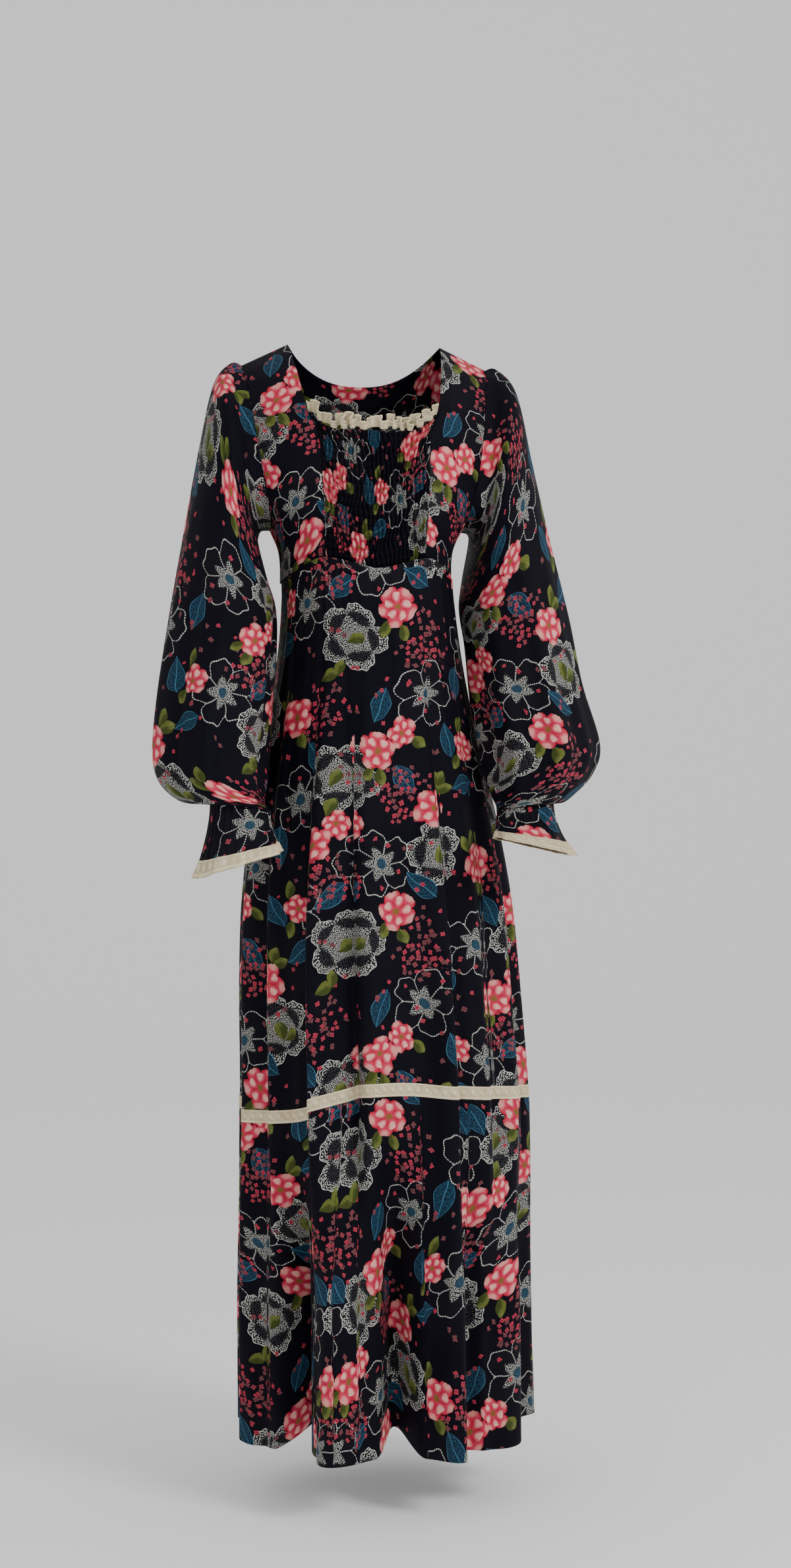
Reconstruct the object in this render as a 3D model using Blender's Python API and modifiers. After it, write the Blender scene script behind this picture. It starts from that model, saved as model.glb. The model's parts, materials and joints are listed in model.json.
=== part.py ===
"""A long-sleeved peasant maxi dress, standing in the hollow form it has when it is worn.

Every piece of cloth is an open surface, worked out from short tables of sections and folds, with Solidify
for its thickness. Metres, +Z up. The front faces -Y and the wearer's left hand is on the +X side. The origin
is on the line of the shoulders, midway between them, where a wearer holds the dress up.
"""

import math

import bpy
from mathutils import Vector

# Driving sizes.
CLOTH = 0.0015  # wall of the printed cloth
SHIRRED_CLOTH = 0.0026  # wall of the shirred panel, which its gathers thicken
LACE = 0.0010  # wall of the lace trims
SEAM_GAP = 0.0006  # between two pieces at a seam
LEANING_GAP = 0.0016  # the same where both walls lean, at the shoulders and along the sleeves
LAID_ON = 0.0006  # between a trim and the cloth it lies on
HEM_Z = -1.372
SHOULDER_SLOPE = 0.48  # drop of the shoulder seam per metre outwards
NECK_X = 0.097  # half the neckline's width at the shoulder
SHIRRED_X = 0.060  # half the shirred panel's width at the empire seam
SIDE_X = 0.107  # half the bodice's width at the empire seam
SHOULDER_X = 0.156  # where the shoulder seam meets the armhole
UNDERARM_Z = -0.236
RIDGE_Y = 0.008  # the shoulder seam lies this far behind the origin
ROUNDNESS = 2.5  # exponent of the bodice's sections, where 2 is an ellipse
NECK_FRONT_Z = -0.094  # the corners of the square neckline
NECK_SAG = 0.026  # how much lower its front edge is
BACK_NECK_DROP = 0.045
LACE_BAND_HEIGHT = 0.020
FRILL_HEIGHT = 0.017

# Depth of the bodice in front of and behind the shoulder seam, by the drop below that seam.
BODICE_DEPTH = (
    # drop, front, back
    (0.000, 0.000, 0.000),
    (0.015, 0.026, 0.026),
    (0.040, 0.054, 0.046),
    (0.080, 0.086, 0.064),
    (0.120, 0.108, 0.074),
    (0.170, 0.126, 0.080),
    (0.220, 0.132, 0.082),
    (0.255, 0.130, 0.082),
    (0.340, 0.130, 0.082),
)
# Half width of the form that the bodice's sections follow, and of the bodice's own edge: the armhole down to
# the underarm and then the side seam, where both are the same.
BODICE_SIDES = (
    # z, form, edge
    (0.000, 0.225, 0.166),
    (-0.020, 0.215, 0.158),
    (-0.060, 0.190, 0.151),
    (-0.110, 0.170, 0.144),
    (-0.160, 0.155, 0.137),
    (-0.205, 0.138, 0.128),
    (UNDERARM_Z, 0.120, 0.120),
    (-0.265, 0.108, 0.108),
    (-0.315, 0.107, 0.107),
)
# Half width of the opening between the two side panels: the neckline, then the shirred panel.
FRONT_OPENING = (
    # z, half width
    (0.000, NECK_X),
    (-0.050, 0.089),
    (NECK_FRONT_Z, 0.081),
    (-0.122, 0.070),
    (-0.200, 0.065),
    (-0.315, 0.059),
)
# The empire seam, by the angle round the body from the middle of the front.
EMPIRE_SEAM = (
    # degrees, z
    (0, -0.292),
    (32, -0.278),
    (60, -0.292),
    (90, -0.300),
    (180, -0.300),
)
# The skirt's form without its folds, and how far its middle is moved sideways.
SKIRT_FORM = (
    # z, half width, front, back, shift, roundness
    (-0.280, 0.107, 0.130, 0.082, 0.000, 2.5),
    (-0.315, 0.106, 0.129, 0.084, 0.002, 2.5),
    (-0.400, 0.115, 0.131, 0.108, 0.005, 2.3),
    (-0.500, 0.131, 0.134, 0.134, 0.006, 2.2),
    (-0.600, 0.146, 0.138, 0.142, 0.009, 2.2),
    (-0.700, 0.156, 0.142, 0.144, 0.012, 2.2),
    (-0.820, 0.160, 0.147, 0.148, 0.016, 2.2),
    (-0.940, 0.164, 0.150, 0.152, 0.021, 2.2),
    (-1.150, 0.168, 0.152, 0.156, 0.024, 2.2),
    (-1.400, 0.170, 0.154, 0.160, 0.027, 2.2),
)
# The folds that run down the skirt: where each ridge stands, how far it stands out at the lace band, and how
# many degrees it takes to fall away on either side.
SKIRT_RIDGES = (
    # degrees, height, before, after
    (-104, 0.016, 15, 12),
    (-76, 0.020, 14, 12),
    (-57, 0.011, 5, 6),
    (-29, 0.027, 7, 14),
    (-8, 0.021, 8, 16),
    (19, 0.018, 9, 6),
    (38, 0.012, 12, 10),
    (60, 0.018, 11, 12),
    (84, 0.022, 14, 12),
    (108, 0.014, 10, 14),
    (131, 0.024, 13, 9),
    (152, 0.015, 10, 11),
    (173, 0.026, 10, 13),
    (197, 0.018, 10, 8),
    (219, 0.023, 9, 14),
    (240, 0.015, 10, 9),
)
# The deeper folds of the flounce at its hem. A height below 0 is a trough.
FLOUNCE_RIDGES = (
    # degrees, height, before, after
    (-108, 0.020, 14, 12),
    (-78, 0.022, 14, 14),
    (-47, -0.058, 13, 11),
    (-22, 0.046, 15, 14),
    (-1, -0.050, 9, 9),
    (16, 0.038, 10, 9),
    (30, -0.016, 7, 8),
    (52, 0.020, 15, 13),
    (83, 0.018, 14, 12),
    (104, -0.030, 11, 11),
    (126, 0.032, 13, 12),
    (148, -0.026, 11, 11),
    (170, 0.034, 13, 13),
    (194, -0.030, 12, 11),
    (216, 0.030, 12, 13),
    (236, -0.022, 9, 10),
)
# How far the lace band strays from its level, round the skirt.
BAND_LEVEL = (
    # degrees, z
    (-180, -0.950),
    (-105, -0.958),
    (-80, -0.966),
    (-52, -0.962),
    (-38, -0.955),
    (-27, -0.940),
    (-8, -0.924),
    (20, -0.930),
    (60, -0.938),
    (100, -0.946),
    (180, -0.950),
)
# Rings of a sleeve: its outer and inner point seen from the front, the ring's middle and half depth along Y.
# The first ring is the armhole, a step out from the bodice.
LEFT_HAND_RINGS = (
    # outer x, outer z, inner x, inner z, y, half depth
    (0.191, -0.062, 0.136, -0.262, 0.002, 0.082),
    (0.211, -0.146, 0.126, -0.298, -0.004, 0.084),
    (0.230, -0.246, 0.119, -0.333, -0.022, 0.082),
    (0.247, -0.346, 0.126, -0.385, -0.046, 0.080),
    (0.258, -0.430, 0.133, -0.450, -0.062, 0.083),
    (0.276, -0.505, 0.142, -0.515, -0.080, 0.084),
    (0.267, -0.542, 0.146, -0.548, -0.090, 0.078),
    (0.243, -0.568, 0.149, -0.572, -0.106, 0.066),
    (0.226, -0.578, 0.148, -0.582, -0.126, 0.050),
    (0.214, -0.573, 0.146, -0.588, -0.136, 0.034),
)
RIGHT_HAND_RINGS = (
    (0.191, -0.062, 0.136, -0.262, 0.002, 0.082),
    (0.211, -0.146, 0.126, -0.298, -0.004, 0.084),
    (0.230, -0.246, 0.117, -0.333, -0.020, 0.084),
    (0.248, -0.346, 0.120, -0.385, -0.044, 0.082),
    (0.261, -0.430, 0.130, -0.450, -0.062, 0.083),
    (0.269, -0.510, 0.138, -0.520, -0.080, 0.084),
    (0.264, -0.550, 0.140, -0.554, -0.092, 0.078),
    (0.243, -0.574, 0.141, -0.574, -0.110, 0.066),
    (0.220, -0.579, 0.138, -0.582, -0.130, 0.052),
    (0.205, -0.573, 0.134, -0.588, -0.142, 0.034),
)
# Lengthwise folds of a sleeve at its fullest, by the angle round it: 0 is its outer side and 90 its front.
SLEEVE_RIDGES = (
    # degrees, height, before, after
    (20, 0.007, 26, 30),
    (80, 0.010, 28, 26),
    (132, 0.008, 24, 22),
    (182, 0.009, 26, 28),
    (236, 0.010, 26, 26),
    (300, 0.009, 32, 30),
)
# The frill below each wrist: how its middle moves to its lace edge, and that edge's half width and depth.
CUFF_FRILLS = {
    # side: (x, y, z, half width, half depth, how much lower the outer side is)
    "left": (0.003, -0.044, -0.048, 0.046, 0.036, 0.020),
    "right": (0.002, -0.018, -0.068, 0.051, 0.036, 0.030),
}
CUFF_FLUTES = 5

# The shirred panel's columns, closer where its top edge rises to the neckline's corners.
SHIRRED_COLUMNS = (-1, -0.95, -0.88, -0.75, -0.5, -0.25, 0, 0.25, 0.5, 0.75, 0.88, 0.95, 1)
SKIRT_COLUMNS = 30  # facets across each of the skirt's two panels
SLEEVE_COLUMNS = 10  # facets across each half
SLEEVE_ROWS = 13
CUFF_COLUMNS = 30


def wave(share):
    """1 at share 0, falling smoothly to 0 at share 1 and beyond."""
    return 0.5 + 0.5 * math.cos(math.pi * min(1.0, abs(share)))


def mix(a, b, share):
    return a + (b - a) * share


def look_up(table, key):
    """The columns of a table after its first, at key, along a smooth curve through the rows."""
    rows = sorted(table)
    key = min(max(key, rows[0][0]), rows[-1][0])
    i = max(k for k in range(len(rows) - 1) if rows[k][0] <= key or k == 0)
    span = rows[i + 1][0] - rows[i][0]
    t = (key - rows[i][0]) / span
    before, after = max(i - 1, 0), min(i + 2, len(rows) - 1)

    def column(c):
        low, high = rows[i][c], rows[i + 1][c]
        slope_low = (high - rows[before][c]) / (rows[i + 1][0] - rows[before][0]) * span
        slope_high = (rows[after][c] - low) / (rows[after][0] - rows[i][0]) * span
        hump = (slope_low * (1 - t) - slope_high * t) * t * (1 - t)
        return mix(low, high, t * t * (3 - 2 * t)) + hump

    return [column(c) for c in range(1, len(rows[0]))]


def folds(ridges, angle):
    """How far the cloth stands out at this angle round a tube, from a table of its ridges."""
    out = 0.0
    for centre, height, before, after in ridges:
        away = (angle - centre + 180) % 360 - 180
        out += height * wave(away / (after if away > 0 else before))
    return out


def round_section(angle, half_width, front, back, roundness):
    """A point of a rounded section, and the way out of it, at an angle from the middle of the front."""
    s, c = math.sin(math.radians(angle)), math.cos(math.radians(angle))
    power = 2 / roundness
    depth = front if c > 0 else back
    point = Vector(
        (
            half_width * math.copysign(abs(s) ** power, s),
            -depth * math.copysign(abs(c) ** power, c),
            0,
        )
    )
    return point, Vector((s / half_width, -c / depth, 0)).normalized()


# The bodice.


def shoulder_z(x):
    return -SHOULDER_SLOPE * max(abs(x) - NECK_X, 0)


def bodice_y(x, z, back=False):
    """Where the bodice's form is, in front of or behind the point (x, z)."""
    front_depth, back_depth = look_up(BODICE_DEPTH, shoulder_z(x) - z)
    half_width, _ = look_up(BODICE_SIDES, z)
    inside = max(0.0, 1 - min(1.0, abs(x) / half_width) ** ROUNDNESS)
    depth = (back_depth if back else front_depth) * inside ** (1 / ROUNDNESS)
    return RIDGE_Y * min(1, inside * 2) + (depth if back else -depth)


def bodice_point(x, z, back=False):
    return Vector((x, bodice_y(x, z, back), z))


def empire_z(x, back=False):
    """The empire seam's height where it passes x."""
    share = min(1.0, abs(x) / look_up(BODICE_SIDES, -0.29)[1])
    angle = math.degrees(math.asin(share ** (ROUNDNESS / 2)))
    return look_up(EMPIRE_SEAM, 180 - angle if back else angle)[0]


def across(inner, outer, share, form):
    """x from inner to outer, with the steps closer together where the form turns away to the side."""
    a, b = (
        math.asin(min(1.0, x / form) ** (ROUNDNESS / 2)) for x in (inner, outer)
    )
    return form * math.sin(mix(a, b, share)) ** (2 / ROUNDNESS)


def side_panel_point(u, v):
    """A point of the side panel at +X: u from the opening to the armhole or side seam, v from the shoulder."""
    top_out = shoulder_z(SHOULDER_X)
    low_in, low_out = empire_z(SHIRRED_X), empire_z(SIDE_X)
    z_in = mix(0.0, low_in + SEAM_GAP, v)
    z_out = mix(top_out, low_out + SEAM_GAP, v)
    x_in = look_up(FRONT_OPENING, z_in)[0] + SEAM_GAP / 2
    form, x_out = look_up(BODICE_SIDES, z_out)
    x = across(x_in, x_out, u, max(form, x_out))
    z = mix(shoulder_z(x), empire_z(x) + SEAM_GAP, v)
    point = bodice_point(x, z)
    if v == 0:
        point.y -= LEANING_GAP / 2
    if u == 1 and z < UNDERARM_Z:
        point.y = -SEAM_GAP / 2
    return point


def back_top_z(x):
    """The top edge of the back: the back neckline, then the shoulder seam."""
    if abs(x) >= NECK_X:
        return shoulder_z(x)
    return -BACK_NECK_DROP * (1 - (abs(x) / NECK_X) ** 2.4)


def back_point(u, v):
    """A point of the back bodice: u from -1 to 1 across, v from the top edge to the empire seam."""
    z_out = mix(shoulder_z(SHOULDER_X), empire_z(SIDE_X, True) + SEAM_GAP, v)
    form, x_out = look_up(BODICE_SIDES, z_out)
    x = math.copysign(across(0, x_out, abs(u), max(form, x_out)), u)
    z = mix(back_top_z(x), empire_z(x, True) + SEAM_GAP, v)
    point = bodice_point(x, z, back=True)
    if v == 0 and abs(x) >= NECK_X:
        point.y += LEANING_GAP / 2
    if abs(u) == 1 and z < UNDERARM_Z:
        point.y = SEAM_GAP / 2
    return point


def shirred_point(u, v):
    """A point of the shirred panel: u from -1 to 1 across, v from the neckline to the empire seam."""
    z_edge = mix(NECK_FRONT_Z, empire_z(SHIRRED_X) + SEAM_GAP, v)
    x = u * (look_up(FRONT_OPENING, z_edge)[0] - SEAM_GAP / 2)
    z = mix(NECK_FRONT_Z - NECK_SAG * (1 - abs(u) ** 5), empire_z(x) + SEAM_GAP, v)
    return bodice_point(x, z)


def armhole_point(angle, side):
    """A point of the armhole: 0 at the shoulder, 90 in front, 180 under the arm, 270 behind."""
    share = (1 - math.cos(math.radians(angle))) / 2
    z = mix(shoulder_z(SHOULDER_X), UNDERARM_Z, share)
    x = look_up(BODICE_SIDES, z)[1]
    y = bodice_y(x, z, back=angle % 360 > 180)
    if share in (0, 1):
        y = RIDGE_Y * (1 - share)
    return Vector((side * x, y, z))


# The sleeves. A side is 1 for the wearer's left, at +X, and -1 for the right.


def ring_point(ring, angle, side):
    out_x, out_z, in_x, in_z, y, half_depth = ring
    c, s = math.cos(math.radians(angle)), math.sin(math.radians(angle))
    middle = Vector(((out_x + in_x) / 2, y, (out_z + in_z) / 2))
    reach = Vector(((out_x - in_x) / 2, 0, (out_z - in_z) / 2))
    point = middle + reach * c + Vector((0, -half_depth, 0)) * s
    return Vector((side * point.x, point.y, point.z))


def along(points, share):
    """A point on the smooth curve through these, evenly spaced by their number."""
    at = share * (len(points) - 1)
    i = min(int(at), len(points) - 2)
    t = at - i
    before = points[max(i - 1, 0)]
    low, high = points[i], points[i + 1]
    after = points[min(i + 2, len(points) - 1)]
    return (
        low * 2
        + (high - before) * t
        + (before * 2 - low * 5 + high * 4 - after) * t * t
        + (low * 3 - before - high * 3 + after) * t * t * t
    ) / 2


def sleeve_path(rings, angle, side):
    """The points that one lengthwise thread of the sleeve passes: armhole, a step outwards, then each ring."""
    start = armhole_point(angle, side)
    near = start + Vector((side * 0.0013, 0, 0))
    step = start + Vector((side * 0.013, 0, -0.003))
    return [near, step] + [ring_point(ring, angle, side) for ring in rings]


def sleeve_point(rings, angle, share, side):
    points = sleeve_path(rings, angle, side)
    point = along(points, share)
    middle = (along(sleeve_path(rings, 0, side), share) + along(sleeve_path(rings, 180, side), share)) / 2
    way_out = (point - middle).normalized()
    fullness = wave((share - 0.62) / 0.34)
    return point + way_out * folds(SLEEVE_RIDGES, angle) * fullness


def cuff_point(rings, name, angle, share, side):
    """A point of the frill below the wrist, from its gathers (share 0) to its free edge (share 1)."""
    x, y, z, half_width, half_depth, lower = CUFF_FRILLS[name]
    out_x, out_z, in_x, in_z, wrist_y, wrist_depth = rings[-1]
    c, s = math.cos(math.radians(angle)), math.sin(math.radians(angle))
    flare = share**1.8
    flute = 1 + 0.08 * flare * math.cos(math.radians(angle) * CUFF_FLUTES + 0.8)
    wide = mix((out_x - in_x) / 2, half_width, flare) * flute
    deep = mix(wrist_depth, half_depth, flare) * flute
    drop = mix((out_z - in_z) / 2, -lower / 2, share)
    return Vector(
        (
            side * ((out_x + in_x) / 2 + x * flare + wide * c),
            wrist_y + y * flare - deep * s,
            (out_z + in_z) / 2 + z * share + drop * c - 0.0026 * (1 - share),
        )
    )


# The skirt.


def band_z(angle):
    return look_up(BAND_LEVEL, (angle + 180) % 360 - 180)[0]


def skirt_fullness(z):
    """How much of the folds' depth shows at z: little at the empire seam, all of it at the lace band."""
    return wave((z + 0.86) / 0.52) if z > -0.86 else 1.0


def form_point(angle, z, ridge):
    """A point of the skirt's form, moved out by a ridge's height."""
    half_width, front, back, shift, roundness = look_up(SKIRT_FORM, z)
    point, way_out = round_section(angle, half_width, front, back, roundness)
    return point + way_out * ridge + Vector((shift, 0, z))


def skirt_point(angle, z):
    return form_point(angle, z, folds(SKIRT_RIDGES, angle) * skirt_fullness(z))


def flounce_point(angle, z):
    """The flounce starts with the skirt's folds, at the lace band, and falls into its own."""
    own = (band_z(angle) - z) / (band_z(angle) - HEM_Z)
    turned = wave(1 - min(1, own * 1.6))
    ridge = mix(folds(SKIRT_RIDGES, angle), folds(FLOUNCE_RIDGES, angle), turned)
    return form_point(angle, z, ridge)


def panel_angles(middle):
    """The angles across a skirt panel whose middle is at 0 or 180 degrees, short of its side seams."""
    inset = math.degrees(SEAM_GAP / 2 / 0.13)
    return [mix(middle - 90 + inset, middle + 90 - inset, i / SKIRT_COLUMNS) for i in range(SKIRT_COLUMNS + 1)]


def skirt_rows():
    """Shares of the way from the empire seam to the lace band."""
    return [0.0, 0.08, 0.20, 0.36, 0.54, 0.76]


def level_points(angle, top, bottom, shares, surface):
    return [surface(angle, mix(top, bottom, share)) for share in shares]


# Making the objects.


def material(name, colour, roughness):
    made = bpy.data.materials.new(name)
    made.use_nodes = True
    shader = made.node_tree.nodes["Principled BSDF"]
    shader.inputs["Base Color"].default_value = (*colour, 1)
    shader.inputs["Roughness"].default_value = roughness
    shader.inputs["Metallic"].default_value = 0.0
    return made


def grid_faces(count, wide, closed):
    """The corner numbers of each square of a grid of points."""
    faces = []
    for r in range(count - 1):
        for c in range(wide if closed else wide - 1):
            following = (c + 1) % wide
            a, b = r * wide + c, r * wide + following
            faces.append((a, b, b + wide, a + wide))
    return faces


def cloth_piece(name, rows, thickness, finish, closed=False):
    """A wall of cloth on a grid of points, given as rows. A closed grid joins each row's ends to a tube."""
    points = [tuple(p) for row in rows for p in row]
    mesh = bpy.data.meshes.new(name)
    mesh.from_pydata(points, [], grid_faces(len(rows), len(rows[0]), closed))
    mesh.materials.append(finish)
    piece = bpy.data.objects.new(name, mesh)
    dress.objects.link(piece)
    wall = piece.modifiers.new("wall", "SOLIDIFY")
    wall.thickness = thickness
    wall.offset = 0
    mesh.shade_smooth()
    return piece


def moved_out(rows, distance, closed=False):
    """A grid of points moved out along its own normals, for a trim that lies on it."""
    wide = len(rows[0])
    points = [p for row in rows for p in row]
    normals = [Vector((0, 0, 0)) for _ in points]
    for a, b, c, d in grid_faces(len(rows), wide, closed):
        normal = (points[c] - points[a]).cross(points[d] - points[b]).normalized()
        for corner in (a, b, c, d):
            normals[corner] += normal
    moved = [p + n.normalized() * distance for p, n in zip(points, normals)]
    return [moved[i : i + wide] for i in range(0, len(moved), wide)]


def drawn_in(rows, edge, beside):
    """The rows with one edge moved squarely off its seam line, towards the column beside it."""
    moved = []
    for r, row in enumerate(rows):
        line = rows[min(r + 1, len(rows) - 1)][edge] - rows[max(r - 1, 0)][edge]
        inwards = row[beside] - row[edge]
        inwards -= line * (inwards.dot(line) / line.length_squared)
        row = list(row)
        row[edge] = row[edge] + inwards.normalized() * LEANING_GAP / 2
        moved.append(row)
    return moved


def turned(grid):
    """Rows made columns."""
    return [list(line) for line in zip(*grid)]


def build_bodice(cloth, shirring):
    neck_v = NECK_FRONT_Z / (empire_z(SHIRRED_X) + SEAM_GAP)  # where a side panel meets the shirred one
    down = [neck_v * i / 3 for i in range(3)] + [mix(neck_v, 1, i / 7) for i in range(8)]
    right = [[side_panel_point(i / 7, v) for i in range(8)] for v in down]
    left = [[Vector((-p.x, p.y, p.z)) for p in reversed(row)] for row in right]
    cloth_piece("side_front_left", right, CLOTH, cloth)
    cloth_piece("side_front_right", left, CLOTH, cloth)
    back = [[back_point(-i / 7, j / 8) for i in range(-7, 8)] for j in range(9)]
    cloth_piece("back_bodice", back, CLOTH, cloth)
    middle = [[shirred_point(u, i / 7) for u in SHIRRED_COLUMNS] for i in range(8)]
    cloth_piece("shirred_panel", middle, SHIRRED_CLOTH, shirring)


def neckline_point(u):
    """The shirred panel's top edge, straight from one of its columns to the next."""
    i = max(k for k in range(len(SHIRRED_COLUMNS) - 1) if SHIRRED_COLUMNS[k] <= u)
    low, high = SHIRRED_COLUMNS[i : i + 2]
    return shirred_point(low, 0).lerp(shirred_point(high, 0), (u - low) / (high - low))


def build_neck_frill(lace):
    """A fluted frill that stands on the front neckline and leans out."""
    flutes, steps = 7, 42
    clear = LAID_ON + SHIRRED_CLOTH / 3  # the shirred panel's edge leans up on its inner side
    rows = []
    for height_share in (0.0, 1.0):
        row = []
        for i in range(steps + 1):
            u = mix(-0.97, 0.97, i / steps)
            flute = math.sin(math.pi * flutes * (u + 0.1 * math.sin(3 * u)))
            out = (-0.008 - 0.0055 * flute) * height_share
            rise = FRILL_HEIGHT * height_share * (0.9 + 0.1 * flute)
            row.append(neckline_point(u) + Vector((0, out, clear + rise)))
        rows.append(row)
    cloth_piece("neck_frill", rows, LACE, lace)


def build_sleeve(name, side, rings, cloth, lace):
    shares = [i / SLEEVE_ROWS for i in range(SLEEVE_ROWS + 1)]
    for half, first in (("front", 0), ("back", 180)):
        angles = [first + 180 * i / SLEEVE_COLUMNS for i in range(SLEEVE_COLUMNS + 1)]
        if side > 0:
            angles.reverse()
        rows = [[sleeve_point(rings, a, share, side) for a in angles] for share in shares]
        rows = drawn_in(drawn_in(rows, 0, 1), -1, -2)
        cloth_piece(f"sleeve_{half}_{name}", rows, CLOTH, cloth)
    angles = [360 * i / CUFF_COLUMNS for i in range(CUFF_COLUMNS)]
    if side > 0:
        angles.reverse()
    frill = [[cuff_point(rings, name, a, share, side) for a in angles] for share in (0, 0.35, 0.75, 1)]
    cloth_piece(f"cuff_frill_{name}", frill, CLOTH, cloth, closed=True)
    trim = moved_out(frill, CLOTH / 2 + LAID_ON + LACE / 2, closed=True)[2:]
    cloth_piece(f"cuff_lace_{name}", trim, LACE, lace, closed=True)


def build_skirt(cloth, lace):
    half_band = LACE_BAND_HEIGHT / 2
    flounce_shares = (0.14, 0.30, 0.48, 0.72, 1.0)
    band_front_and_back = []
    for name, middle in (("front", 0), ("back", 180)):
        angles = panel_angles(middle)
        skirt, flounce, band = [], [], []
        for angle in angles:
            top = look_up(EMPIRE_SEAM, abs((angle + 180) % 360 - 180))[0] - SEAM_GAP / 3
            seam = band_z(angle)
            upper = seam + half_band
            line = level_points(angle, top, upper, skirt_rows() + [1.0], skirt_point)
            skirt.append(line + [skirt_point(angle, seam + SEAM_GAP / 2)])
            lower = seam - half_band
            start = [flounce_point(angle, seam - SEAM_GAP / 2), flounce_point(angle, lower)]
            flounce.append(start + level_points(angle, lower, HEM_Z, flounce_shares, flounce_point))
            band.append([line[-1], skirt_point(angle, seam), flounce_point(angle, lower)])
        cloth_piece(f"skirt_{name}", turned(skirt), CLOTH, cloth)
        cloth_piece(f"flounce_{name}", turned(flounce), CLOTH, cloth)
        band_front_and_back += band
    trim = moved_out(turned(band_front_and_back), CLOTH / 2 + LAID_ON + LACE / 2, closed=True)
    cloth_piece("lace_band", trim, LACE, lace, closed=True)


for left_over in list(bpy.data.objects):
    bpy.data.objects.remove(left_over)
dress = bpy.data.collections.new("peasant_dress")
bpy.context.scene.collection.children.link(dress)

printed = material("printed_cloth", (0.012, 0.012, 0.020), 0.75)
shirred = material("shirred_cloth", (0.012, 0.012, 0.020), 0.80)
cream_lace = material("lace", (0.70, 0.62, 0.44), 0.85)
build_bodice(printed, shirred)
build_neck_frill(cream_lace)
build_sleeve("left", 1, LEFT_HAND_RINGS, printed, cream_lace)
build_sleeve("right", -1, RIGHT_HAND_RINGS, printed, cream_lace)
build_skirt(printed, cream_lace)
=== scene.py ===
"""The looks of a peasant dress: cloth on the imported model's forms, its floral print, lace, light and camera.

The tables of sections and folds repeat the model's own, in metres, because this script can't read its source.
The front faces -Y, the wearer's left hand is on the +X side, and the origin is between the shoulders.
"""

import json
import math

import bpy
import numpy as np
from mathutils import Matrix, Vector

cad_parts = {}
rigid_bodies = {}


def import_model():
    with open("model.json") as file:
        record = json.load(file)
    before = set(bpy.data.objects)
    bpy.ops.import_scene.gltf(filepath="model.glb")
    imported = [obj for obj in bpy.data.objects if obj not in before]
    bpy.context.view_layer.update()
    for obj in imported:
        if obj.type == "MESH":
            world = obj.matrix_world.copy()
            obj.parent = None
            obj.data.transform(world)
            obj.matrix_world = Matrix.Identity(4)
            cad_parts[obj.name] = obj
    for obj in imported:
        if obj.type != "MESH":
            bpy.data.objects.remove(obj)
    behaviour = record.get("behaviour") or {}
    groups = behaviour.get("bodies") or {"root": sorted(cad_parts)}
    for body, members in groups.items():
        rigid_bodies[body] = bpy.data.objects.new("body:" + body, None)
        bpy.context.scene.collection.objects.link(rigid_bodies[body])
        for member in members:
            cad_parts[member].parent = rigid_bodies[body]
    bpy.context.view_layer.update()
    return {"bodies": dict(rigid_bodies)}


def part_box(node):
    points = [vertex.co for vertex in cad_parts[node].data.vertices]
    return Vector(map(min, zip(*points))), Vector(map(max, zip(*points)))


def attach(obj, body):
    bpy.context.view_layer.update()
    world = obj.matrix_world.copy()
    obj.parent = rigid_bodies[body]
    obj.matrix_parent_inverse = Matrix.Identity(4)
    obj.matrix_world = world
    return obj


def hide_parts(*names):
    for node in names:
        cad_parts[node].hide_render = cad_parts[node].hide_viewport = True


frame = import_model()
BODY = next(iter(frame["bodies"]))

# Sizes that the model has too.
SEAM_GAP = 0.0006
HEM_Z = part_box("flounce_front")[0].z
SHOULDER_SLOPE = 0.48
NECK_X = 0.097
SHIRRED_X = 0.060
SIDE_X = 0.107
SHOULDER_X = 0.156
UNDERARM_Z = -0.236
RIDGE_Y = 0.008
ROUNDNESS = 2.5
NECK_FRONT_Z = -0.094
NECK_SAG = 0.026
BACK_NECK_DROP = 0.045

# Sizes of what only shows here.
CLOTH = 0.0005  # the printed voile, thick enough to have an edge
LACE = 0.0006
ELASTIC_ROWS = 17  # of shirring, down the front panel
SHIRRING = 2.0, 1.15  # how many times wider and higher the shirred cloth was before it was gathered
PLEAT_PITCH = 0.0052  # of the small pleats between the rows of elastic
PLEAT_DEPTH = 0.0022
PUFF_DEPTH = 0.0026  # how far the cloth stands out halfway between two rows of elastic
LACE_BAND_HEIGHT = 0.016
CUFF_LACE_HEIGHT = 0.013
FRILL_HEIGHT = 0.0115
FRILL_CURLS = 12.5  # from end to end of the neckline
FRILL_CURL_DEPTH = 0.0054
FRILL_WANDER = 0.0048  # how far each curl lifts or drops the frill

BODICE_DEPTH = (
    # drop, front, back
    (0.000, 0.000, 0.000),
    (0.015, 0.026, 0.026),
    (0.040, 0.054, 0.046),
    (0.080, 0.086, 0.064),
    (0.120, 0.108, 0.074),
    (0.170, 0.126, 0.080),
    (0.220, 0.132, 0.082),
    (0.255, 0.130, 0.082),
    (0.340, 0.130, 0.082),
)
BODICE_SIDES = (
    # z, form, edge
    (0.000, 0.225, 0.166),
    (-0.020, 0.215, 0.158),
    (-0.060, 0.190, 0.151),
    (-0.110, 0.170, 0.144),
    (-0.160, 0.155, 0.137),
    (-0.205, 0.138, 0.128),
    (UNDERARM_Z, 0.120, 0.120),
    (-0.265, 0.108, 0.108),
    (-0.315, 0.107, 0.107),
)
FRONT_OPENING = (
    # z, half width
    (0.000, NECK_X),
    (-0.050, 0.089),
    (NECK_FRONT_Z, 0.081),
    (-0.122, 0.070),
    (-0.200, 0.065),
    (-0.315, 0.059),
)
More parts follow.
